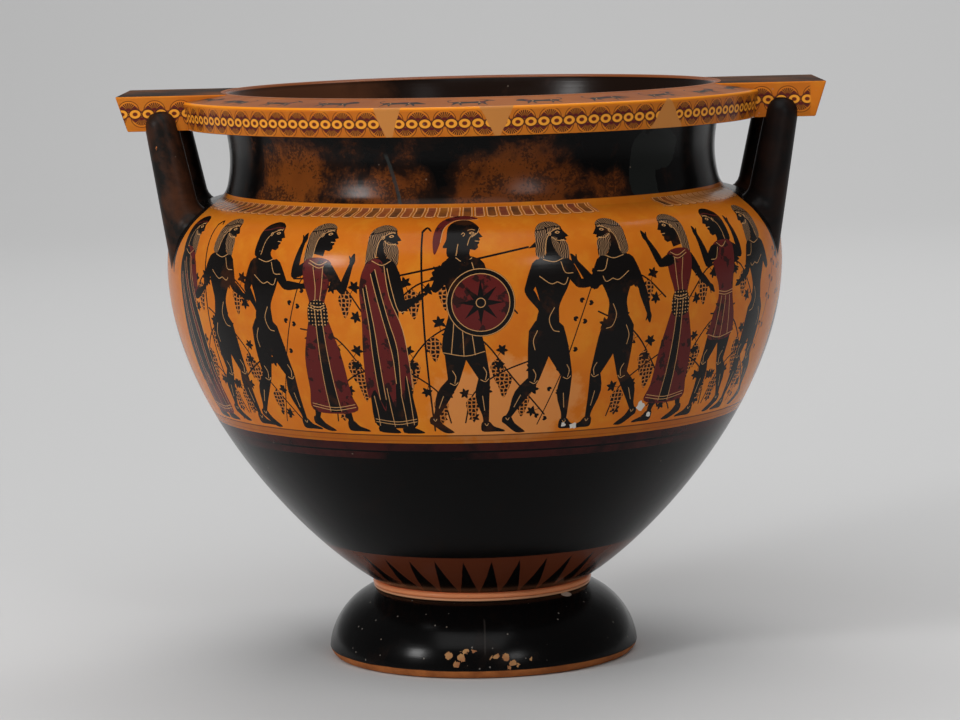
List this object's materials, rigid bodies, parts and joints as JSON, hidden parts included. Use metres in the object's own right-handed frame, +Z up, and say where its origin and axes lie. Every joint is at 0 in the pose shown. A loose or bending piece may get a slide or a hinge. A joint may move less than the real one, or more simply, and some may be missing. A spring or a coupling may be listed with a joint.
{
  "type": "greek column krater",
  "caption": "Black-figure column krater: wide hollow bowl on a low round foot, short neck, broad rim, and flat handle plates carried by upright columns.",
  "frame": {"origin": "centre of the ring the foot stands on", "axes": "+Z up out of the mouth, +X through the middle of one handle, -Y towards the front panel"},
  "size_m": [0.688, 0.608, 0.565],
  "materials": {
    "fired_clay": "orange clay under glossy black slip, painted bands and figures, worn"
  },
  "bodies": {
    "root": {"krater": "fired_clay"}
  },
  "joints": []
}
